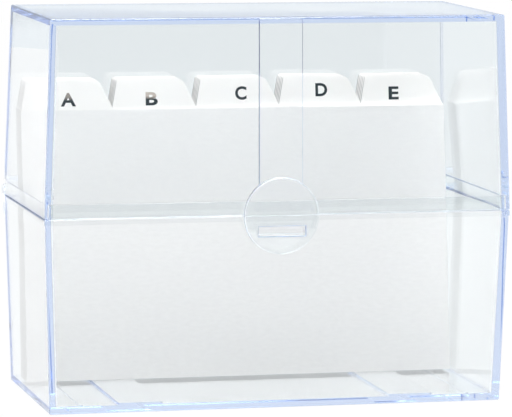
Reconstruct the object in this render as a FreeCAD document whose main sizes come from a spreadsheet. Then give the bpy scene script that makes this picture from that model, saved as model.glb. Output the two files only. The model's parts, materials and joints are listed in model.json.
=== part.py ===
import FreeCAD, Part
import math
import os
import re
import Sketcher
from FreeCAD import Placement, Rotation, Vector

# A clear box for index cards 127 mm high and 203 mm wide: a tray and a hinged lid,
# each moulded with draft so that the box is widest at the seam between them, and
# 25 white dividers whose tabs stand in rows of five.
# Frame: X to the right, Y to the back, Z up, origin under the middle of the tray.

SIZES = {
    # the cards that the box is made round
    "card_width": 203.2,
    "card_height": 127.0,
    "card_thick": 0.4,
    "tab_height": 14.4,
    "tab_width": 41.2,
    "tab_steep": 2.7,
    "tab_slope": 6.7,
    "tab_small_round": 2.0,
    "tab_large_round": 5.0,
    "tabs_per_row": 5,
    "card_pitch": 0.625,
    "card_lift": 0.1,
    "fan_angle": 1.0,
    "back_room": 17.8,
    "top_room": 2.3,
    # the two shells
    "side_room": 4.2,
    "inner_depth": 99.6,
    "seam_height": 89.0,
    "lid_height": 89.85,
    "seam_gap": 0.15,
    "draft": 3.0,
    "wall": 3.2,
    "floor": 3.2,
    "outer_corner": 0.8,
    "inner_corner": 1.2,
    # the shiplap seam
    "bead_height": 2.5,
    "bead_proud": 0.3,
    "bead_round": 0.7,
    "skirt_round": 0.5,
    "lip_height": 6.2,
    "lip_thick": 1.45,
    "lip_room": 0.25,
    "lip_top_room": 0.4,
    "lip_end_room": 1.0,
    "lip_end_reach": 5.0,
    # raised runners and ribs on the floor
    "runner_inner": 53.5,
    "runner_outer": 73.8,
    "runner_height": 1.0,
    "rib_middle": 91.0,
    "rib_width": 1.2,
    "rib_height": 0.5,
    "rail_root": 0.7,
    # catch bar and thumb disc at the front
    "catch_width": 21.2,
    "catch_drop": 9.0,
    "catch_height": 4.2,
    "catch_ridge": 1.5,
    "catch_reach": 0.65,
    "disc_radius": 17.5,
    "disc_room": 0.9,
    "disc_thick": 2.2,
    "disc_round": 0.8,
    "window_side_room": 0.45,
    "window_low_room": 0.3,
    "window_high_room": 0.1,
    "strip_width": 20.4,
    "strip_proud": 0.8,
    "strip_round": 1.8,
    # hinges
    "hinge_behind": 1.0,
    "hinge_above": 1.2,
    "ear_inset": 0.1,
    "ear_thick": 3.3,
    "ear_radius": 3.6,
    "ear_drop": 9.5,
    "ear_root_thick": 0.3,
    "pin_radius": 1.5,
    "pin_clearance": 0.06,
    "boss_play": 0.2,
    "boss_length": 8.4,
    "boss_radius": 3.4,
    "boss_root": 9.0,
    "boss_room": 0.4,
    "notch_reach": 5.4,
    "notch_height": 7.4,
    "open_angle": 110.0,
    "heel_inset": 1.45,
    "heel_reach": 5.0,
    "heel_room": 0.35,
    "heel_thick": 2.15,
    # how far pads run into what carries them, and pockets past it
    "root": 1.0,
    "overrun": 1.0,
}

# Places that follow from the sizes: half widths and depths of the seam, outside and inside.
RIM_X = "(card_width / 2 + side_room + wall)"
RIM_Y = "(inner_depth / 2 + wall)"
IN_X = "(card_width / 2 + side_room)"
IN_Y = "(inner_depth / 2)"
# The hinge's axis, and where the ears and bosses lie along it.
HINGE_Y = f"({RIM_Y} + hinge_behind)"
HINGE_Z = "(seam_height + hinge_above)"
EAR_OUTER = f"({RIM_X} - ear_inset)"
EAR_INNER = f"({EAR_OUTER} - ear_thick)"
BOSS_OUTER = f"({EAR_INNER} - boss_play)"
BOSS_INNER = f"({BOSS_OUTER} - boss_length)"
# The thumb disc's faces and the catch bar's lower edge.
DISC_INNER = f"({RIM_Y} + disc_room)"
DISC_OUTER = f"({DISC_INNER} + disc_thick)"
CATCH_LOW = "(seam_height - catch_drop)"
# The lid's own heights are counted from its rim.
LID_RIM = "(seam_height + seam_gap)"
SKIRT = "(wall - lip_thick - lip_room)"

LETTERS = list("abcdefghijklmnopqrstuvwx") + ["yz"]

document = FreeCAD.newDocument("IndexCardBox")
sheet = document.addObject("Spreadsheet::Sheet", "Sizes")
for row, (name, size) in enumerate(SIZES.items(), start=1):
    sheet.set(f"A{row}", name)
    sheet.set(f"B{row}", str(size))
    sheet.setAlias(f"B{row}", name)
document.recompute()


def sized(formula):
    """The formula with every size name pointed at its cell of the sheet."""
    return re.sub(r"\b[a-z][a-z_]*", lambda word: "Sizes." + word[0] if word[0] in SIZES else word[0], formula)


def value(formula):
    """What the formula gives with the sizes as they stand."""
    result = sheet.evalExpression(sized(formula))
    return float(getattr(result, "Value", result))


def bind(item, **formulas):
    """Hold each property of the item to a formula of sizes; two underscores stand for a dot."""
    for name, formula in formulas.items():
        item.setExpression(name.replace("__", "."), sized(formula))


def new_body(label, z="0"):
    """An empty body standing at height z."""
    body = document.addObject("PartDesign::Body", label)
    body.Label = label
    bind(body, Placement__Base__z=z)
    return body


def new_sketch(body, plane, lift):
    """An empty sketch on one of the body's own planes, lifted along that plane's normal."""
    sketch = body.newObject("Sketcher::SketchObject", "Outline")
    origin = [part for part in body.Origin.OriginFeatures if part.Role == plane][0]
    sketch.AttachmentSupport = (origin, [""])
    sketch.MapMode = "FlatFace"
    bind(sketch, AttachmentOffset__Base__z=lift)
    return sketch


def hold(sketch, kind, *target, formula):
    """Add one dimension to the sketch and hold it to a formula."""
    index = sketch.addConstraint(Sketcher.Constraint(kind, *target, value(formula)))
    sketch.setExpression(f"Constraints[{index}]", sized(formula))


def add_loop(sketch, corners):
    """A closed run of straight edges, each corner held by its own x and y."""
    points = [Vector(value(x), value(y), 0) for x, y in corners]
    edges = [sketch.addGeometry(Part.LineSegment(start, end))
             for start, end in zip(points, points[1:] + points[:1])]
    for edge, following in zip(edges, edges[1:] + edges[:1]):
        sketch.addConstraint(Sketcher.Constraint("Coincident", edge, 2, following, 1))
    for edge, (x, y) in zip(edges, corners):
        hold(sketch, "DistanceX", -1, 1, edge, 1, formula=x)
        hold(sketch, "DistanceY", -1, 1, edge, 1, formula=y)


def add_circle(sketch, x, y, radius):
    """A circle held by its middle and its radius."""
    circle = sketch.addGeometry(
        Part.Circle(Vector(value(x), value(y), 0), Vector(0, 0, 1), value(radius)))
    hold(sketch, "DistanceX", -1, 1, circle, 3, formula=x)
    hold(sketch, "DistanceY", -1, 1, circle, 3, formula=y)
    hold(sketch, "Radius", circle, formula=radius)


def add_rounded_box(sketch, half_x, half_y, radius):
    """A rectangle about the middle with its four corners rounded."""
    loop = []
    for sign_x, sign_y in ((1, 1), (-1, 1), (-1, -1), (1, -1)):
        side = (f"{sign_x} * ({half_x})", f"{sign_y} * ({half_y} - {radius})")
        end = (f"{sign_x} * ({half_x} - {radius})", f"{sign_y} * ({half_y})")
        turn = math.atan2(sign_y, sign_x) - math.pi / 4
        middle = Vector(value(end[0]), value(side[1]), 0)
        round_edge = Part.ArcOfCircle(Part.Circle(middle, Vector(0, 0, 1), value(radius)),
                                      turn, turn + math.pi / 2)
        loop.append((sketch.addGeometry(round_edge), (side, end) if sign_x == sign_y else (end, side)))
    for (arc, (_, end)), (following, (start, _)) in zip(loop, loop[1:] + loop[:1]):
        straight = sketch.addGeometry(Part.LineSegment(
            Vector(value(end[0]), value(end[1]), 0), Vector(value(start[0]), value(start[1]), 0)))
        sketch.addConstraint(Sketcher.Constraint("Coincident", arc, 2, straight, 1))
        sketch.addConstraint(Sketcher.Constraint("Coincident", straight, 2, following, 1))
    for arc, corner_ends in loop:
        hold(sketch, "Radius", arc, formula=radius)
        for point, (x, y) in enumerate(corner_ends, start=1):
            hold(sketch, "DistanceX", -1, 1, arc, point, formula=x)
            hold(sketch, "DistanceY", -1, 1, arc, point, formula=y)


def add_box(sketch, half_x, half_y):
    """A rectangle about the middle with sharp corners."""
    add_loop(sketch, [(f"-({half_x})", f"-({half_y})"), (half_x, f"-({half_y})"),
                      (half_x, half_y), (f"-({half_x})", half_y)])


def drafted(body, label, cut, low, high):
    """Drafted walls between two rounded rectangles, each given as (height, half x, half y)."""
    levels = []
    for height, half_x, half_y in (low, high):
        levels.append(new_sketch(body, "XY_Plane", height))
        add_rounded_box(levels[-1], half_x, half_y, "inner_corner")
    kind = "PartDesign::SubtractiveLoft" if cut else "PartDesign::AdditiveLoft"
    loft = body.newObject(kind, label)
    loft.Profile = levels[0]
    loft.Sections = [levels[1]]
    loft.Ruled = True
    finish(loft)
    return loft


def raised(body, label, sketch, length, midplane=False, reverse=False, narrows=None):
    """A pad of the sketch, whose sides may lean in by so much at its far end."""
    pad = body.newObject("PartDesign::Pad", label)
    pad.Profile = sketch
    pad.Midplane = midplane
    pad.Reversed = reverse
    bind(pad, Length=length)
    if narrows:
        bind(pad, TaperAngle=f"-atan(({narrows}) / ({length}))")
    finish(pad)
    return pad


def sunk(body, label, sketch, length, midplane=False, reverse=False):
    """A pocket of the sketch, which has to take material away."""
    before = body.Tip.Shape.Volume
    pocket = body.newObject("PartDesign::Pocket", label)
    pocket.Profile = sketch
    pocket.Midplane = midplane
    pocket.Reversed = reverse
    bind(pocket, Length=length)
    finish(pocket)
    if pocket.Shape.Volume > before - 0.01:
        raise RuntimeError(label + " takes nothing away")
    return pocket


def finish(feature):
    """Compute the feature, which has to be sound."""
    feature.Document.recompute()
    if "Invalid" in feature.State or "Error" in feature.State or feature.Shape.isNull():
        raise RuntimeError(feature.Label + " fails")


def other_side(body, label, features):
    """The same features again on the other side of the box."""
    mirror = body.newObject("PartDesign::Mirrored", label)
    mirror.Originals = features
    plane = [part for part in body.Origin.OriginFeatures if part.Role == "YZ_Plane"][0]
    mirror.MirrorPlane = (plane, [""])
    body.Tip = mirror
    finish(mirror)
    return mirror


def rounded(body, label, radius, wanted):
    """Round every edge of the body that the test accepts."""
    base = body.Tip
    names = [f"Edge{index}" for index, edge in enumerate(base.Shape.Edges, start=1) if wanted(edge)]
    fillet = body.newObject("PartDesign::Fillet", label)
    fillet.Base = (base, names)
    bind(fillet, Radius=radius)
    finish(fillet)
    return fillet


def edge_outside(height):
    """A test for edges that reach away from the given height."""
    def wanted(edge):
        box = edge.BoundBox
        return max(abs(box.ZMin - height), abs(box.ZMax - height)) > 0.01
    return wanted


def edge_at(*places):
    """A test for edges that lie wholly at the given places, each an axis number and a height along it."""
    def wanted(edge):
        return all(abs(getattr(vertex.Point, "xyz"[axis]) - place) < 0.01
                   for axis, place in zip(places[::2], places[1::2]) for vertex in edge.Vertexes)
    return wanted


def floor_rails(body):
    """Two broad runners and two thin ribs from the front wall to the back wall."""
    rails = {"Runner": ("runner_inner", "runner_outer", "runner_height"),
             "Rib": ("rib_middle - rib_width / 2", "rib_middle + rib_width / 2", "rib_height")}
    end = f"({IN_Y} - draft + rail_root)"
    for label, (inner, outer, height) in rails.items():
        sketch = new_sketch(body, "XY_Plane", "floor - root")
        for sign in ("1", "-1"):
            near, far = f"{sign} * ({inner})", f"{sign} * ({outer})"
            add_loop(sketch, [(near, "-" + end), (far, "-" + end), (far, end), (near, end)])
        raised(body, label, sketch, f"{height} + root")


def catch_bar(body):
    """The bar that the window of the lid drops over, with a ramp above its ridge."""
    inside, face = f"-{RIM_Y} + root", f"-{RIM_Y} - catch_reach"
    sketch = new_sketch(body, "YZ_Plane", "0")
    add_loop(sketch, [(inside, CATCH_LOW), (f"{face} + catch_reach / 4", f"{CATCH_LOW} + catch_ridge / 2"),
                      (face, f"{CATCH_LOW} + catch_ridge"),
                      (f"-{RIM_Y} + bead_proud", f"{CATCH_LOW} + catch_height"),
                      (inside, f"{CATCH_LOW} + catch_height")])
    raised(body, "CatchBar", sketch, "catch_width", midplane=True)


def hinge_ears(body):
    """Ears for the hinge pins, and the hollows in the back wall that the lid's bosses turn in."""
    ring = new_sketch(body, "YZ_Plane", EAR_INNER)
    add_circle(ring, HINGE_Y, HINGE_Z, "ear_radius")
    ear = raised(body, "Ear", ring, "ear_thick")
    gusset = new_sketch(body, "YZ_Plane", EAR_INNER)
    low, inside = "seam_height - ear_drop", f"{RIM_Y} - root"
    add_loop(gusset, [(inside, low), (f"{inside} + ear_root_thick", low),
                      (f"{HINGE_Y} + ear_radius", HINGE_Z), (inside, HINGE_Z)])
    ear_root = raised(body, "EarRoot", gusset, "ear_thick")
    hole = new_sketch(body, "YZ_Plane", f"{EAR_OUTER} + overrun")
    add_circle(hole, HINGE_Y, HINGE_Z, "pin_radius + pin_clearance")
    bore = sunk(body, "PinHole", hole, "ear_thick + 1.5 * overrun")
    hollow = new_sketch(body, "YZ_Plane", EAR_INNER)
    add_circle(hollow, HINGE_Y, HINGE_Z, "boss_radius + boss_room")
    scallop = sunk(body, "BossHollow", hollow, "boss_play + boss_length + boss_room")
    other_side(body, "OtherHinge", [ear, ear_root, bore, scallop])


def lip_ends(body):
    """The lip stops short of the hinges, where the lid's bosses sit."""
    sketch = new_sketch(body, "XY_Plane", "seam_height + lip_height + overrun")
    front, back = f"{RIM_Y} - lip_end_reach", f"{RIM_Y} + overrun"
    for sign in ("1", "-1"):
        near = f"{sign} * ({BOSS_INNER} - lip_end_room)"
        far = f"{sign} * ({RIM_X} + overrun)"
        add_loop(sketch, [(near, front), (far, front), (far, back), (near, back)])
    sunk(body, "LipEnds", sketch, "lip_height + overrun")


def base_shell():
    """The tray: drafted walls, a lip that stands up inside the lid, runners, catch and ears."""
    body = new_body("base_shell")
    rim = new_sketch(body, "XY_Plane", "seam_height")
    add_box(rim, f"{RIM_X} - bead_proud", f"{RIM_Y} - bead_proud")
    raised(body, "Walls", rim, "seam_height", reverse=True, narrows="draft - bead_proud")
    rounded(body, "OuterEdges", "outer_corner", edge_outside(value("seam_height")))
    bead = new_sketch(body, "XY_Plane", "seam_height - bead_height")
    add_rounded_box(bead, RIM_X, RIM_Y, "outer_corner")
    raised(body, "Bead", bead, "bead_height")
    rounded(body, "BeadEdge", "bead_round", edge_at(2, value("seam_height")))
    lip_top, lean = "seam_height + lip_height", "draft * lip_height / seam_height"
    drafted(body, "Lip", False, ("seam_height", f"{IN_X} + lip_thick", f"{IN_Y} + lip_thick"),
            (lip_top, f"{IN_X} + lip_thick - {lean}", f"{IN_Y} + lip_thick - {lean}"))
    drafted(body, "LipInside", True, ("seam_height", IN_X, IN_Y),
            (lip_top, f"{IN_X} - {lean}", f"{IN_Y} - {lean}"))
    slope = "draft * (seam_height - floor) / seam_height"
    drafted(body, "Inside", True, ("floor", f"{IN_X} - {slope}", f"{IN_Y} - {slope}"),
            ("seam_height", IN_X, IN_Y))
    lip_ends(body)
    floor_rails(body)
    catch_bar(body)
    hinge_ears(body)
    return body


def thumb_disc(body):
    """A disc half on the lid and half hanging over the tray, with a window for the catch bar."""
    middle = ("0", "-seam_gap")
    backing = new_sketch(body, "XZ_Plane", DISC_INNER)
    add_circle(backing, *middle, "disc_radius - disc_round")
    raised(body, "DiscBacking", backing, "disc_room + root", reverse=True)
    below = new_sketch(body, "XZ_Plane", DISC_INNER)
    reach = "(disc_radius + overrun)"
    add_loop(below, [("-" + reach, "-" + reach), (reach, "-" + reach), (reach, "0"), ("-" + reach, "0")])
    sunk(body, "DiscFree", below, "disc_room + root + overrun")
    disc = new_sketch(body, "XZ_Plane", DISC_OUTER)
    add_circle(disc, *middle, "disc_radius")
    raised(body, "Disc", disc, "disc_thick", reverse=True)
    rounded(body, "DiscEdge", "disc_round", edge_at(1, -value(DISC_OUTER)))
    window = new_sketch(body, "XZ_Plane", f"{DISC_OUTER} + overrun")
    half = "(catch_width / 2 + window_side_room)"
    low = f"{CATCH_LOW} - window_low_room - {LID_RIM}"
    high = f"{CATCH_LOW} + catch_height + window_high_room - {LID_RIM}"
    add_loop(window, [("-" + half, low), (half, low), (half, high), ("-" + half, high)])
    sunk(body, "Window", window, "disc_thick + 1.5 * overrun")


def front_strip(body):
    """A flat strip that stands proud of the front wall from the rim to the rounded top edge."""
    top = "lid_height"
    face = f"-{RIM_Y} + draft - strip_proud"
    inside = f"-{RIM_Y} + draft + 2 * root"
    sketch = new_sketch(body, "YZ_Plane", "0")
    add_loop(sketch, [
        (f"-{RIM_Y} + root", "0"), (f"-{RIM_Y} - strip_proud", "0"),
        (f"{face} - draft / lid_height * strip_round", f"{top} - strip_round"),
        (f"{face} + 0.3 * strip_round", f"{top} - 0.3 * strip_round"),
        (f"{face} + strip_round", top), (inside, top), (inside, f"{top} - root")])
    raised(body, "Strip", sketch, "strip_width", midplane=True)


def heel_corner(across, along):
    """Where a corner of the stop sits with the lid shut, from its place behind the tray when open."""
    y = f"({across}) * cos(open_angle) - ({along}) * sin(open_angle)"
    z = f"({across}) * sin(open_angle) + ({along}) * cos(open_angle)"
    return f"{HINGE_Y} + {y}", f"{HINGE_Z} - {LID_RIM} + {z}"


def hinge_bosses(body):
    """Bosses behind the lid's rim with a pin on each, and a heel that stops the open lid."""
    y, z = HINGE_Y, f"({HINGE_Z} - {LID_RIM})"
    barrel = new_sketch(body, "YZ_Plane", BOSS_INNER)
    add_circle(barrel, y, z, "boss_radius")
    boss = raised(body, "Boss", barrel, "boss_length")
    gusset = new_sketch(body, "YZ_Plane", BOSS_INNER)
    inside = f"{RIM_Y} - root"
    add_loop(gusset, [(inside, z), (f"{y} + boss_radius", z),
                      (f"{y} + 0.8 * boss_radius", f"{z} + 0.7 * boss_radius"),
                      (RIM_Y, "boss_root"), (inside, "boss_root")])
    boss_root = raised(body, "BossRoot", gusset, "boss_length")
    stop = new_sketch(body, "YZ_Plane", f"{BOSS_INNER} + heel_inset")
    face = "heel_room - hinge_behind"
    back = f"{face} + heel_thick"
    add_loop(stop, [heel_corner(face, "0"), heel_corner(face, "-heel_reach"),
                    heel_corner(back, "-heel_reach"), heel_corner(back, "0")])
    heel = raised(body, "Heel", stop, "boss_length - 2 * heel_inset")
    end = new_sketch(body, "YZ_Plane", f"{BOSS_OUTER} - root")
    add_circle(end, y, z, "pin_radius")
    pin = raised(body, "Pin", end, "root + boss_play + ear_thick")
    return [boss, boss_root, heel, pin]


def corner_notch(body):
    """The rear corner of the lid's rim is cut away round the tray's ear."""
    sketch = new_sketch(body, "XY_Plane", "-overrun")
    near, far = f"{BOSS_OUTER} - boss_play / 2", f"{RIM_X} + overrun"
    front, back = f"{HINGE_Y} - notch_reach", f"{RIM_Y} + overrun"
    add_loop(sketch, [(near, front), (far, front), (far, back), (near, back)])
    return sunk(body, "CornerNotch", sketch, "notch_height + overrun", reverse=True)


def lid_shell():
    """The lid: drafted walls with a thin skirt outside the tray's lip, strip, disc and pins."""
    body = new_body("lid_shell", LID_RIM)
    rim = new_sketch(body, "XY_Plane", "0")
    add_box(rim, RIM_X, RIM_Y)
    raised(body, "Walls", rim, "lid_height", narrows="draft")
    rounded(body, "OuterEdges", "outer_corner", edge_outside(0))
    rounded(body, "SkirtEdge", "skirt_round", edge_at(2, 0))
    slope = "draft * (lid_height - wall) / lid_height"
    drafted(body, "Inside", True, ("0", IN_X, IN_Y),
            ("lid_height - wall", f"{IN_X} - {slope}", f"{IN_Y} - {slope}"))
    rebate, lean = "lip_height + lip_top_room", "draft * (lip_height + lip_top_room) / lid_height"
    drafted(body, "Rebate", True, ("0", f"{RIM_X} - {SKIRT}", f"{RIM_Y} - {SKIRT}"),
            (rebate, f"{RIM_X} - {SKIRT} - {lean}", f"{RIM_Y} - {SKIRT} - {lean}"))
    front_strip(body)
    thumb_disc(body)
    notch = corner_notch(body)
    other_side(body, "OtherCorner", [notch] + hinge_bosses(body))
    return body


def divider(letter, index):
    """A card leaning back on its lower edge, with one of the five tab places."""
    body = new_body("divider_" + letter, "floor + runner_height + card_lift")
    behind = len(LETTERS) - 1 - index
    bind(body, Placement__Base__y=f"{IN_Y} - back_room - {behind} * card_pitch")
    lean = ("asin((back_room - top_room) / (card_height + tab_height))"
            f" + {behind / (len(LETTERS) - 1)} * fan_angle * 1 deg")
    body.Placement.Rotation = Rotation(Vector(-1, 0, 0), value(lean))
    bind(body, Placement__Rotation__Angle=lean)
    place = index % int(SIZES["tabs_per_row"])
    edge, tip = "card_width / 2", "card_height + tab_height"
    left = f"(-card_width / 2 + {place} * (card_width - tab_width) / (tabs_per_row - 1))"
    right = f"({left} + tab_width)"
    corners = [("-" + edge, "0"), (edge, "0"), (edge, "card_height")]
    if place < SIZES["tabs_per_row"] - 1:
        corners.append((right, "card_height"))
    corners += [(f"{right} - tab_slope", tip), (f"{left} + tab_steep", tip), (left, "card_height")]
    if place > 0:
        corners.append(("-" + edge, "card_height"))
    sketch = new_sketch(body, "XZ_Plane", "0")
    add_loop(sketch, corners)
    raised(body, "Board", sketch, "card_thick", midplane=True)
    rounded(body, "SteepCorner", "tab_small_round", edge_at(0, value(f"{left} + tab_steep"), 2, value(tip)))
    rounded(body, "SlopeCorner", "tab_large_round", edge_at(0, value(f"{right} - tab_slope"), 2, value(tip)))
    return body


def export(body):
    """Check the body and write it as its own file."""
    shape = body.Shape
    if shape.isNull() or not shape.isValid() or len(shape.Solids) != 1:
        raise RuntimeError(body.Label + " isn't one sound solid")
    shape.exportStep("parts/" + body.Label + ".step")


bodies = [base_shell(), lid_shell()]
bodies += [divider(letter, index) for index, letter in enumerate(LETTERS)]
document.recompute()
for item in document.Objects:
    if "Invalid" in item.State or "Error" in item.State:
        raise RuntimeError(item.Label + " is " + str(item.State))
os.makedirs("parts", exist_ok=True)
for body in bodies:
    export(body)
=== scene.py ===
"""A clear box for index cards with its dividers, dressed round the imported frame. Metres, Z up."""
import json
import math

import bmesh
import bpy
import numpy as np
from mathutils import Matrix, Vector

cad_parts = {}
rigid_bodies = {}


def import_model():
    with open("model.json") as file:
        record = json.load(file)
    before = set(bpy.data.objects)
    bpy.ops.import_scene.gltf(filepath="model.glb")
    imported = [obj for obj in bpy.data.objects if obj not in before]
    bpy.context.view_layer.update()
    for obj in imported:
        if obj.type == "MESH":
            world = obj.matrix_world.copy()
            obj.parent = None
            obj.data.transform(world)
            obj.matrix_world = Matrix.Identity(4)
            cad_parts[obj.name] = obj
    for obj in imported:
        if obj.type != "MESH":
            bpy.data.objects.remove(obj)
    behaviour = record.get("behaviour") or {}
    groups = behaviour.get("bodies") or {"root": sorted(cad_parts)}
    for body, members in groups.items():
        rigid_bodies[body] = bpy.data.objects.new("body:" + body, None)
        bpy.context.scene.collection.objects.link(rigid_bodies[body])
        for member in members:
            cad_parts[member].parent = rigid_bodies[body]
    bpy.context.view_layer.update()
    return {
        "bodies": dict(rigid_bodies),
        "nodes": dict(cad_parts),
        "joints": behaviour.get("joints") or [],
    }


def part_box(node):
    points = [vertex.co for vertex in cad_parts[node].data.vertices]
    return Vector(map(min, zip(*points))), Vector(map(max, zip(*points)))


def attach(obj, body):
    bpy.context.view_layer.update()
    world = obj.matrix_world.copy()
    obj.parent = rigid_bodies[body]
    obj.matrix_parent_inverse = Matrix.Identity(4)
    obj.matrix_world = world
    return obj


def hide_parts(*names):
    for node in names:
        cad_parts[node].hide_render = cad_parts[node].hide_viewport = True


MM = 0.001

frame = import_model()

# The cards' sizes in millimetres: the board, the tab, how far its steep left side and its sloping right
# side run, and the rounds on top of them.
CARD_WIDTH = 203.2
CARD_HEIGHT = 127.0
CARD_THICK = 0.4
TAB_HEIGHT = 14.4
TAB_WIDTH = 41.2
TAB_STEEP = 2.7
TAB_SLOPE = 6.7
TAB_SMALL_ROUND = 2.0
TAB_LARGE_ROUND = 5.0
TABS_PER_ROW = 5

# How finely a card is divided: points along a tab's side, its top and a shoulder, rows of points on the
# board and on the tab. In millimetres, lengths below SLIGHT count as none, and the rows on a shoulder
# rise by LEAST_RISE in all.
SIDE_POINTS = 9
TOP_POINTS = 8
SHOULDER_POINTS = 9
BOARD_ROWS = 9
TAB_ROWS = 6
SLIGHT = 0.01
LEAST_RISE = 0.02

# The names of a card's own map, in metres, and of the attribute that holds each point's distance from
# the tab's steep side, in millimetres. On the shoulder to the left of that side it is BEYOND.
CARD_MAP = "sheet"
CUT_MAP = "from_cut_side"
BEYOND = 9.0

# In millimetres, how far below the shoulder the tab's film starts and how far above it is full, and how wide
# the rim of painted shade along the tab's steep side is, which stands in for the shade in the gaps between
# the tabs. Then the share of painted grey shade at that side.
FILM_BELOW = 0.4
FILM_ABOVE = 0.2
SHADE_RIM_WIDTH = 0.3
SHADE_RIM_SHARE = 0.9

# The letters' height and how far they lie over the board, in millimetres, and what share of the font's
# size their height and their extra weight are.
LETTER_HEIGHT = 6.2
LETTER_RAISED = 0.03
LETTER_SHARE = 0.73
LETTER_WEIGHT = 0.03

# How far in millimetres the front row's letters stand aside of their tabs' middles and over the cards'
# shoulders, the least and the most of both in the rows behind, and how much wider than the font each
# column's letters are.
PRINT_SHIFTS = ((-0.8, 5.1), (-1.5, 5.0), (1.7, 7.0), (0.7, 8.0), (-4.0, 5.9))
LEAST_SHIFT = (-2, 5)
MOST_SHIFT = (2, 7)
PRINT_WIDTHS = (1.12, 1.3, 0.97, 1.0, 1.3)

# Joining distance of a shell's triangles in metres, and the angle over which an edge stays sharp.
MERGE = 2e-6
SHARP = math.radians(25)

# Where the strip and the window on the lid's front have their outer corners, in millimetres, how near an
# edge's ends must be to that, the width and steps of those corners, and the length from which an edge
# is one.
STRIP_EDGE = 10.2
STRIP_BACK = -49.5
DISC_FACE = -56.1
WINDOW_EDGE = 11.05
WINDOW_MIDDLE = 82.0
WINDOW_REACH = 2.4
NEAR = 0.02
SOFT_CORNER = 0.25
SOFT_STEPS = 4
SOFT_LENGTH = 1.2

# How far the table reaches to the sides and back, and to the front, in metres, and how far it lies
# under the box, which touches it only here and there.
TABLE = 2.5
TABLE_FRONT = 0.7
AIR = 0.0003

# How white the table glows to the eye, and the strength of the studio's light from behind.
TABLE_GLOW = 0.96
BACK_LIGHT = 1.6


# ---------------------------------------------------------------- materials

def linear(colour):
    """An sRGB hex colour as linear red, green, blue and alpha."""
    channels = [int(colour[i:i + 2], 16) / 255 for i in (1, 3, 5)]
    return [c / 12.92 if c <= 0.04045 else ((c + 0.055) / 1.055) ** 2.4 for c in channels] + [1.0]


class Shading:
    """A node tree under construction."""

    def __init__(self, tree):
        self.nodes = tree.nodes
        self.links = tree.links

    def node(self, kind, inputs=None, **settings):
        """Add a node with its settings; an input is a value, or a socket that it is linked from."""
        node = self.nodes.new(kind)
        for name, value in settings.items():
            setattr(node, name, value)
        for name, value in (inputs or {}).items():
            self.feed(node.inputs[name], value)
        return node

    def feed(self, socket, value):
        """Give a socket a value or a link."""
        if isinstance(value, bpy.types.NodeSocket):
            self.links.new(value, socket)
        else:
            socket.default_value = value


class Finish(Shading):
    """A node material under construction."""

    def __init__(self, name):
        self.material = bpy.data.materials.new(name)
        self.material.use_nodes = True
        super().__init__(self.material.node_tree)
        self.shader = self.nodes["Principled BSDF"]
        self.output = self.nodes["Material Output"]

    def shade(self, **inputs):
        """Set or link the shader's own sockets."""
        for name, value in inputs.items():
            self.feed(self.shader.inputs[name.replace("_", " ")], value)


def place_in_mm(finish):
    """The object's own coordinates in millimetres."""
    where = finish.node("ShaderNodeTexCoord").outputs["Object"]
    return finish.node("ShaderNodeMapping", {"Vector": where, "Scale": [1 / MM] * 3}).outputs["Vector"]


def crystal_polystyrene(name, surface):
    """Clear crystal polystyrene, injection moulded: glossy, with a blue cast where it is looked through
    along a wall, and a surface with very slight waves from the mould, about 50 mm long. Inside a wall light
    loses the most red and the least blue, at a density per metre. The surface colour is white on the walls;
    at small soft corners it is a painted blue glow, standing in for the light from inside the wall that
    comes out there."""
    finish = Finish(name)
    where = place_in_mm(finish)
    wave = finish.node("ShaderNodeTexNoise", {"Vector": where, "Scale": 0.02, "Detail": 1.0})
    bump = finish.node("ShaderNodeBump", {"Height": wave.outputs["Fac"], "Strength": 0.05,
                                          "Distance": 0.2 * MM})
    finish.shade(Base_Color=linear(surface), Roughness=0.0, IOR=1.59, Transmission_Weight=1.0,
                 Normal=bump.outputs["Normal"])
    glow = finish.node("ShaderNodeVolumeAbsorption", {"Color": [0.0, 0.28, 0.81, 1.0], "Density": 4.1})
    finish.links.new(glow.outputs["Volume"], finish.output.inputs["Volume"])
    return finish.material


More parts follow.
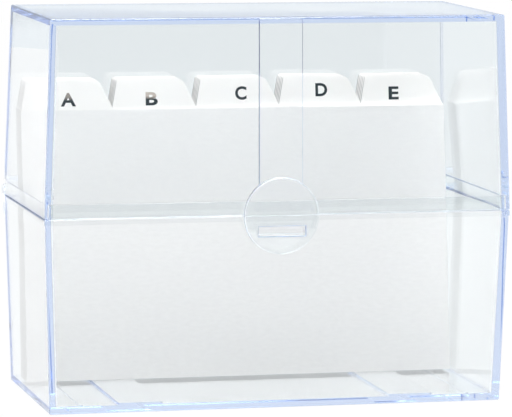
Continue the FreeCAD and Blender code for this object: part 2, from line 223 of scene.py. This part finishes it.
def index_board():
    """White index board: smooth uncoated card, cloudy from its fibres, and from the shoulder up a tab that
    is sealed in clear film, which makes it glossier, and drawn whiter than the board below. Along the tab's
    steep cut side a grey rim is painted shade, standing in for the shade in the narrow gaps between the
    cards' tabs. The clouds are drawn 1.5 mm high and 3.5 mm long, along the board's grain, which is coarser
    than its fibres, so that they show."""
    finish = Finish("white_index_board")
    sheet = finish.node("ShaderNodeUVMap", uv_map=CARD_MAP)
    where = finish.node("ShaderNodeMapping", {"Vector": sheet.outputs["UV"],
                                              "Scale": [1 / MM] * 3}).outputs["Vector"]
    height = finish.node("ShaderNodeSeparateXYZ", {"Vector": where}).outputs["Y"]
    film = finish.node("ShaderNodeMapRange", {
        "Value": height, "From Min": CARD_HEIGHT - FILM_BELOW,
        "From Max": CARD_HEIGHT + FILM_ABOVE}).outputs["Result"]
    grain = finish.node("ShaderNodeMapping", {"Vector": where, "Scale": [0.4, 1.0, 1.0]}).outputs["Vector"]
    cloud = finish.node("ShaderNodeTexNoise", {"Vector": grain, "Scale": 0.7, "Detail": 4.0,
                                               "Roughness": 0.7}).outputs["Fac"]
    spread = finish.node("ShaderNodeMapRange", {"Value": cloud, "From Min": 0.3,
                                                "From Max": 0.7}).outputs["Result"]
    bare = finish.node("ShaderNodeMix", {"Factor": spread, "A": linear("#ebe9e8"), "B": linear("#f1efee")},
                       data_type="RGBA").outputs["Result"]
    sealed = finish.node("ShaderNodeMix", {"Factor": spread, "A": linear("#f8f4f1"),
                                           "B": linear("#faf7f5")}, data_type="RGBA").outputs["Result"]
    clean = finish.node("ShaderNodeMix", {"Factor": film, "A": bare, "B": sealed},
                        data_type="RGBA").outputs["Result"]
    # Painted shade: a grey rim along the tab's steep side, for the shade in the gaps between the tabs.
    inside = finish.node("ShaderNodeAttribute", attribute_name=CUT_MAP).outputs["Fac"]
    rim_shade_ramp = finish.node("ShaderNodeMapRange", {"Value": inside, "From Min": 0.0, "From Max": SHADE_RIM_WIDTH,
                                                "To Min": SHADE_RIM_SHARE, "To Max": 0.0}).outputs["Result"]
    painted_gap_shade = finish.node("ShaderNodeMath", {0: rim_shade_ramp, 1: film}, operation="MULTIPLY").outputs["Value"]
    tone = finish.node("ShaderNodeMix", {"Factor": painted_gap_shade, "A": clean, "B": linear("#6c6d70")},
                       data_type="RGBA")
    gloss = finish.node("ShaderNodeMapRange", {"Value": film, "To Min": 0.8, "To Max": 0.4})
    fibre = finish.node("ShaderNodeTexNoise", {"Vector": grain, "Scale": 3.0, "Detail": 3.0})
    bump = finish.node("ShaderNodeBump", {"Height": fibre.outputs["Fac"], "Strength": 0.15,
                                          "Distance": 0.02 * MM})
    finish.shade(Base_Color=tone.outputs["Result"], Roughness=gloss.outputs["Result"],
                 Normal=bump.outputs["Normal"])
    return finish.material


def cut_edge():
    """The cut edge of a sealed tab, painted grey as shade, standing in for the shade in the gaps between the
    tabs, mottled in patches of about 1 mm."""
    finish = Finish("painted_shade_tab_edge")
    where = place_in_mm(finish)
    shade_mottle = finish.node("ShaderNodeTexNoise", {"Vector": where, "Scale": 0.8, "Detail": 3.0})
    tone = finish.node("ShaderNodeMix", {"Factor": shade_mottle.outputs["Fac"], "A": linear("#77787b"),
                                         "B": linear("#a3a3a4")}, data_type="RGBA")
    finish.shade(Base_Color=tone.outputs["Result"], Roughness=0.7)
    return finish.material


def printing_ink(name, worn):
    """Black offset ink on card, uneven in its cover within a quarter of a millimetre. Where it is worn,
    it fades to the brown of rubbed board, from 0.5 mm below the middle of a front letter to 1.2 mm
    above it."""
    finish = Finish(name)
    where = place_in_mm(finish)
    cover = finish.node("ShaderNodeTexNoise", {"Vector": where, "Scale": 4.0, "Detail": 2.0}).outputs["Fac"]
    black = finish.node("ShaderNodeMix", {"Factor": cover, "A": linear("#0e0e0f"), "B": linear("#222224")},
                        data_type="RGBA").outputs["Result"]
    height = finish.node("ShaderNodeSeparateXYZ", {"Vector": where}).outputs["Z"]
    middle = (card_place("divider_b") @ Vector((0, 0, (CARD_HEIGHT + PRINT_SHIFTS[1][1]) * MM))).z / MM
    fade = finish.node("ShaderNodeMapRange", {"Value": height, "From Min": middle - 0.5,
                                              "From Max": middle + 1.2, "To Max": worn}).outputs["Result"]
    tone = finish.node("ShaderNodeMix", {"Factor": fade, "A": black, "B": linear("#cdbfb4")},
                       data_type="RGBA")
    finish.shade(Base_Color=tone.outputs["Result"], Roughness=0.5)
    return finish.material


# ---------------------------------------------------------------- shells

def placed(name, data):
    """A new object in the scene, at the origin."""
    piece = bpy.data.objects.new(name, data)
    bpy.context.scene.collection.objects.link(piece)
    return piece


def mesh_object(name, points, faces, material):
    """A mesh object from an array of points in metres and a list of faces."""
    mesh = bpy.data.meshes.new(name)
    mesh.from_pydata(points.tolist(), [], faces)
    mesh.materials.append(material)
    mesh.update()
    return placed(name, mesh)


def is_soft(edge):
    """Whether an edge is a long outer corner of the lid's front strip, or of the window in its disc."""
    ends = [vert.co / MM for vert in edge.verts]
    upright = abs(ends[0].x - ends[1].x) < NEAR
    strip = upright and all(abs(abs(end.x) - STRIP_EDGE) < NEAR and end.y < STRIP_BACK for end in ends)
    window = all(abs(end.y - DISC_FACE) < NEAR and abs(end.x) < WINDOW_EDGE + NEAR
                 and abs(end.z - WINDOW_MIDDLE) < WINDOW_REACH for end in ends)
    corner = len(edge.link_faces) == 2 and edge.calc_face_angle_signed() > SHARP
    return corner and edge.calc_length() > SOFT_LENGTH * MM and (strip or window)


def make_shell(node, material, glow_material):
    """A moulded shell: the node's own triangles joined into one skin, smooth over its rounds and sharp at
    its corners, so that light bends through it as through one moulding. The strip and the window on the
    lid's front have softer corners, which get the second finish: a painted blue glow."""
    mesh = frame["nodes"][node].data.copy()
    mesh.name = node + "_moulding"
    skin = bmesh.new()
    skin.from_mesh(mesh)
    bmesh.ops.remove_doubles(skin, verts=skin.verts, dist=MERGE)
    bmesh.ops.dissolve_degenerate(skin, edges=skin.edges, dist=MERGE)
    for face in skin.faces:
        face.material_index = 0
    corners = [edge for edge in skin.edges if is_soft(edge)]
    rounds = bmesh.ops.bevel(skin, geom=corners, offset=SOFT_CORNER * MM, segments=SOFT_STEPS, profile=0.5,
                             affect="EDGES", clamp_overlap=False)
    # The soft corners take the painted blue glow of the light that comes out of the wall there.
    for face in rounds["faces"]:
        face.material_index = 1
    for face in skin.faces:
        face.smooth = True
    for edge in skin.edges:
        edge.smooth = len(edge.link_faces) == 2 and edge.calc_face_angle() < SHARP
    mesh.materials.clear()
    mesh.materials.append(material)
    mesh.materials.append(glow_material)
    skin.to_mesh(mesh)
    skin.free()
    piece = placed(node + "_moulding", mesh)
    flat = piece.modifiers.new("flat_walls", "WEIGHTED_NORMAL")
    flat.keep_sharp = True
    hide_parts(node)
    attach(piece, node.replace("_shell", ""))


# ---------------------------------------------------------------- cards

def corner_arc(foot, run, radius, sign):
    """Points along one side of a tab, from its foot at the card's top edge to where the round ends:
    the straight side rises tab height over run, and an arc of the radius joins it to the tab's top."""
    turn = math.atan2(TAB_HEIGHT, run)
    reach = radius * math.tan(turn / 2)
    angles = np.linspace(turn, 0, SIDE_POINTS)
    x = run + reach - radius * np.sin(angles)
    z = TAB_HEIGHT - radius + radius * np.cos(angles)
    x, z = np.append(0, x), np.append(0, z)
    return foot + sign * x, z


def tab_left(number):
    """Where a card's tab starts on the card's upper edge, in millimetres from the card's middle."""
    return -CARD_WIDTH / 2 + number % TABS_PER_ROW * (CARD_WIDTH - TAB_WIDTH) / (TABS_PER_ROW - 1)


def card_top(left):
    """The card's upper edge from left to right as x and height over the card's shoulder: a shoulder,
    the tab's steep side, its top, its sloping side and a shoulder. A row's first tab starts and its
    last tab ends at the card's own side, with no shoulder there."""
    right = left + TAB_WIDTH
    x_rise, z_rise = corner_arc(left, TAB_STEEP, TAB_SMALL_ROUND, 1)
    x_fall, z_fall = corner_arc(right, TAB_SLOPE, TAB_LARGE_ROUND, -1)
    edge = CARD_WIDTH / 2
    before = np.linspace(-edge, left, SHOULDER_POINTS)[:-1] if left > -edge + SLIGHT else np.array([])
    after = np.linspace(right, edge, SHOULDER_POINTS)[1:] if right < edge - SLIGHT else np.array([])
    top = np.linspace(x_rise[-1], x_fall[-1], TOP_POINTS)[1:-1]
    x = np.concatenate([before, x_rise, top, x_fall[::-1], after])
    z = np.concatenate([0 * before, z_rise, 0 * top + TAB_HEIGHT, z_fall[::-1], 0 * after])
    return x, z


def card_place(node):
    """The matrix that stands a flat card, drawn in X and Z, on its foot at its lean. The foot is the
    divider's hinge, and the sine of the lean is how far its box reaches back, over its height."""
    joint = [j for j in frame["joints"] if j["child"] == node][0]
    foot = Vector(joint["pos_m"])
    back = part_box(node)[1][1] - foot.y - CARD_THICK / 2 * MM
    lean = math.asin(back / ((CARD_HEIGHT + TAB_HEIGHT) * MM))
    return Matrix.Translation(foot) @ Matrix.Rotation(-lean, 4, "X")


def make_card(node, number, material, edge_material):
    """A divider: a grid of points, x along the card's upper edge and height as a share of that edge's
    own height, on the front and the back of the board, joined round the rim. The tab's cut sides, where
    the rim rises more than it runs, have a finish of their own, and an attribute holds how far in
    millimetres each point lies from the steep one: x less the tab's start and the share of the height
    by which that side leans in."""
    left = tab_left(number)
    x, top = card_top(left)
    low = np.repeat(np.linspace(0, CARD_HEIGHT, BOARD_ROWS)[:, None], len(x), axis=1)
    high = CARD_HEIGHT + np.linspace(0, 1, TAB_ROWS)[1:, None] * np.maximum(top, LEAST_RISE)[None, :]
    z = np.vstack([low, high])
    x = np.repeat(x[None, :], len(z), axis=0)
    inside = np.where(x < left - SLIGHT, BEYOND, x - left - (z - CARD_HEIGHT) * TAB_STEEP / TAB_HEIGHT)
    rows, columns = z.shape
    sheets = [np.stack([x, 0 * x + side * CARD_THICK / 2, z], axis=-1).reshape(-1, 3) for side in (-1, 1)]
    points = np.vstack(sheets) * MM
    index = np.arange(rows * columns).reshape(rows, columns)
    quads = np.stack([index[:-1, :-1], index[:-1, 1:], index[1:, 1:], index[1:, :-1]], axis=-1)
    quads = quads.reshape(-1, 4)
    rim = np.concatenate([index[0, :-1], index[:-1, -1], index[-1, :0:-1], index[:0:-1, 0]])
    after = np.roll(rim, -1)
    back = rows * columns
    sides = np.stack([after, rim, rim + back, after + back], axis=-1)
    faces = np.vstack([quads, quads[:, ::-1] + back, sides]).tolist()
    flat = points[:, [0, 2]] + [number * CARD_WIDTH * MM, 0]
    step = np.abs(points[after] - points[rim])
    lower = np.minimum(points[after, 2], points[rim, 2])
    cut = (step[:, 2] > step[:, 0]) & (lower > (CARD_HEIGHT - SLIGHT) * MM)
    matrix = np.array(card_place(node))
    points = points @ matrix[:3, :3].T + matrix[:3, 3]
    piece = mesh_object(node + "_card", points, faces, material)
    mesh = piece.data
    mesh.materials.append(edge_material)
    # The cut sides take the edge finish, which is painted grey shade for the gaps between the tabs.
    finishes = np.append(np.zeros(2 * len(quads), int), cut.astype(int))
    mesh.polygons.foreach_set("material_index", finishes)
    mesh.attributes.new(CUT_MAP, "FLOAT", "POINT").data.foreach_set("value", np.tile(inside.ravel(), 2))
    corners = np.empty(len(mesh.loops), dtype=int)
    mesh.loops.foreach_get("vertex_index", corners)
    mesh.uv_layers.new(name=CARD_MAP).data.foreach_set("uv", flat[corners].ravel())
    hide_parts(node)
    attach(piece, node)


def make_letter(node, number, text, material, registration):
    """A bold letter printed on the front of the tab, as a flat mesh a hair above the board. Behind the
    front row, the printing's registration is drawn at random."""
    curve = bpy.data.curves.new(node + "_print", "FONT")
    curve.body = text
    curve.align_x = "CENTER"
    curve.size = LETTER_HEIGHT * MM / LETTER_SHARE
    curve.offset = LETTER_WEIGHT * curve.size
    curve.resolution_u = 6
    holder = placed(node + "_print_curve", curve)
    bpy.context.view_layer.update()
    mesh = bpy.data.meshes.new_from_object(holder)
    bpy.data.objects.remove(holder)
    front_row = number < len(PRINT_SHIFTS)
    aside, above = PRINT_SHIFTS[number] if front_row else registration.uniform(LEAST_SHIFT, MOST_SHIFT)
    spot = Vector(((tab_left(number) + 0.5 * TAB_WIDTH + aside) * MM, -(CARD_THICK / 2 + LETTER_RAISED) * MM,
                   (CARD_HEIGHT + above - LETTER_HEIGHT / 2) * MM))
    widened = Matrix.Scale(PRINT_WIDTHS[number % TABS_PER_ROW], 4, (1, 0, 0))
    upright = Matrix.Rotation(math.pi / 2, 4, "X") @ widened
    mesh.transform(card_place(node) @ Matrix.Translation(spot) @ upright)
    mesh.materials.clear()
    mesh.materials.append(material)
    piece = placed(node + "_print", mesh)
    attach(piece, node)


# ---------------------------------------------------------------- stage

def bounces(shading, kind, number):
    """1 for a ray from the eye with that number of bounces of this kind behind it, and 0 for the others:
    the two numbers are the same to within a half."""
    depth = shading.node("ShaderNodeLightPath").outputs[kind]
    same = shading.node("ShaderNodeMath", {0: depth, 1: number, 2: 0.5}, operation="COMPARE")
    return same.outputs["Value"]


def set_stage():
    """A table of grey card that is pale to the eye: looked at, or seen through or in the clear walls, it
    is as white as the backdrop, but for the shadow on it."""
    finish = Finish("pale_table")
    direct = bounces(finish, "Diffuse Depth", 0)
    tone = finish.node("ShaderNodeMix", {"Factor": direct, "A": linear("#5c5c5c"), "B": linear("#f4f4f4")},
                       data_type="RGBA")
    finish.shade(Base_Color=tone.outputs["Result"], Roughness=0.9)
    glow = finish.node("ShaderNodeEmission", {"Color": linear("#ffffff"), "Strength": 1.0})
    share = finish.node("ShaderNodeMath", {0: direct, 1: TABLE_GLOW}, operation="MULTIPLY")
    mix = finish.node("ShaderNodeMixShader", {0: share.outputs["Value"], 1: finish.shader.outputs["BSDF"],
                                              2: glow.outputs["Emission"]})
    finish.links.new(mix.outputs["Shader"], finish.output.inputs["Surface"])
    points = np.array([[-TABLE, -TABLE_FRONT, -AIR], [TABLE, -TABLE_FRONT, -AIR], [TABLE, TABLE, -AIR],
                       [-TABLE, TABLE, -AIR]])
    table = mesh_object("table", points, [[0, 1, 2, 3]], finish.material)


def set_world():
    """A studio: white wherever it is looked at, straight or through the plastic and along its walls. As
    light it is a bright tent that is open to a dim room at the front and lit the most at the back.
    Mirrored once in a wall, both are a little blue. The direction's Y is -1 at the front and 1 at the
    back."""
    world = bpy.data.worlds.new("studio")
    bpy.context.scene.world = world
    world.use_nodes = True
    studio = Shading(world.node_tree)
    where = studio.node("ShaderNodeTexCoord").outputs["Generated"]
    ahead = studio.node("ShaderNodeSeparateXYZ", {"Vector": where}).outputs["Y"]
    covered = studio.node("ShaderNodeMapRange", {"Value": ahead, "From Min": -0.95, "From Max": -0.75},
                          interpolation_type="SMOOTHSTEP").outputs["Result"]
    mirrored = bounces(studio, "Glossy Depth", 1)
    direct = bounces(studio, "Diffuse Depth", 0)
    reflection = studio.node("ShaderNodeMix", {"Factor": covered, "A": linear("#24596b"),
                                               "B": linear("#edf3f8")}, data_type="RGBA").outputs["Result"]
    tent = studio.node("ShaderNodeMix", {"Factor": covered, "A": linear("#3c3c3c"),
                                         "B": linear("#e0e0e0")}, data_type="RGBA").outputs["Result"]
    behind = studio.node("ShaderNodeMapRange", {"Value": ahead, "From Min": 0.15, "From Max": 0.4},
                         interpolation_type="SMOOTHSTEP").outputs["Result"]
    light = studio.node("ShaderNodeMix", {"Factor": behind, "A": tent, "B": [BACK_LIGHT] * 3 + [1.0]},
                        data_type="RGBA").outputs["Result"]
    image = studio.node("ShaderNodeMix", {"Factor": mirrored, "A": linear("#ffffff"), "B": reflection},
                        data_type="RGBA").outputs["Result"]
    level = studio.node("ShaderNodeMix", {"Factor": direct, "A": light, "B": image}, data_type="RGBA")
    studio.feed(studio.nodes["Background"].inputs["Color"], level.outputs["Result"])


def add_light(name, size, power, place, target):
    """A square soft box that looks at the target."""
    lamp = bpy.data.lights.new(name, "AREA")
    lamp.size = size
    lamp.energy = power
    holder = placed(name, lamp)
    holder.location = place
    holder.rotation_euler = (Vector(target) - Vector(place)).to_track_quat("-Z", "Y").to_euler()


def set_camera():
    """Camera left of the front and a little above, level but for a slight roll. Angles in radians, place
    in metres, lens in millimetres."""
    yaw, pitch, roll = 0.23941, 0.11724, 0.00714
    place = (-0.42336, -1.73991, 0.29680)
    forward = Vector((math.sin(yaw) * math.cos(pitch), math.cos(yaw) * math.cos(pitch), -math.sin(pitch)))
    right = Vector((math.cos(yaw), -math.sin(yaw), 0))
    up = right.cross(forward)
    right_rolled = right * math.cos(roll) + up * math.sin(roll)
    up_rolled = up * math.cos(roll) - right * math.sin(roll)
    camera = bpy.data.cameras.new("camera")
    camera.lens = 271.11
    camera.sensor_width = 36
    camera.sensor_fit = "HORIZONTAL"
    camera.clip_end = 20
    holder = placed("camera", camera)
    turned = Matrix((right_rolled, up_rolled, -forward)).transposed().to_4x4()
    holder.matrix_world = Matrix.Translation(place) @ turned
    bpy.context.scene.camera = holder


# ---------------------------------------------------------------- assembly

clear = crystal_polystyrene("crystal_polystyrene", "#fdffff")
# The corners' finish is a painted blue glow, for the light from inside the walls that comes out at them.
clear_painted_glow = crystal_polystyrene("crystal_polystyrene_painted_glow", "#bcd8ec")
board = index_board()
# The tabs' cut edges are painted grey as the shade between the tabs.
tab_edge = cut_edge()
ink = printing_ink("black_printing_ink", worn=0.0)
worn_inks = {"divider_a": printing_ink("rubbed_printing_ink", worn=0.45),
             "divider_b": printing_ink("worn_printing_ink", worn=0.9)}
for name in ("base_shell", "lid_shell"):
    make_shell(name, clear, clear_painted_glow)

registration = np.random.default_rng(seed=5)
cards = [name for name in frame["bodies"] if name.startswith("divider_")]
for number, card in enumerate(cards):
    make_card(card, number, board, tab_edge)
    make_letter(card, number, card.split("_")[1].upper(), worn_inks.get(card, ink), registration)

set_stage()
set_world()
add_light("key", size=0.4, power=3.4, place=(-0.06, -0.24, 0.52), target=(-0.02, -0.03, 0.1))
set_camera()

# Light that is caught in a wall comes out only after many bounces, and turns blue on its way.
rays = bpy.context.scene.cycles
rays.max_bounces, rays.glossy_bounces, rays.transmission_bounces = 128, 96, 96
rays.blur_glossy = 0
bpy.context.scene.view_settings.view_transform = "Standard"
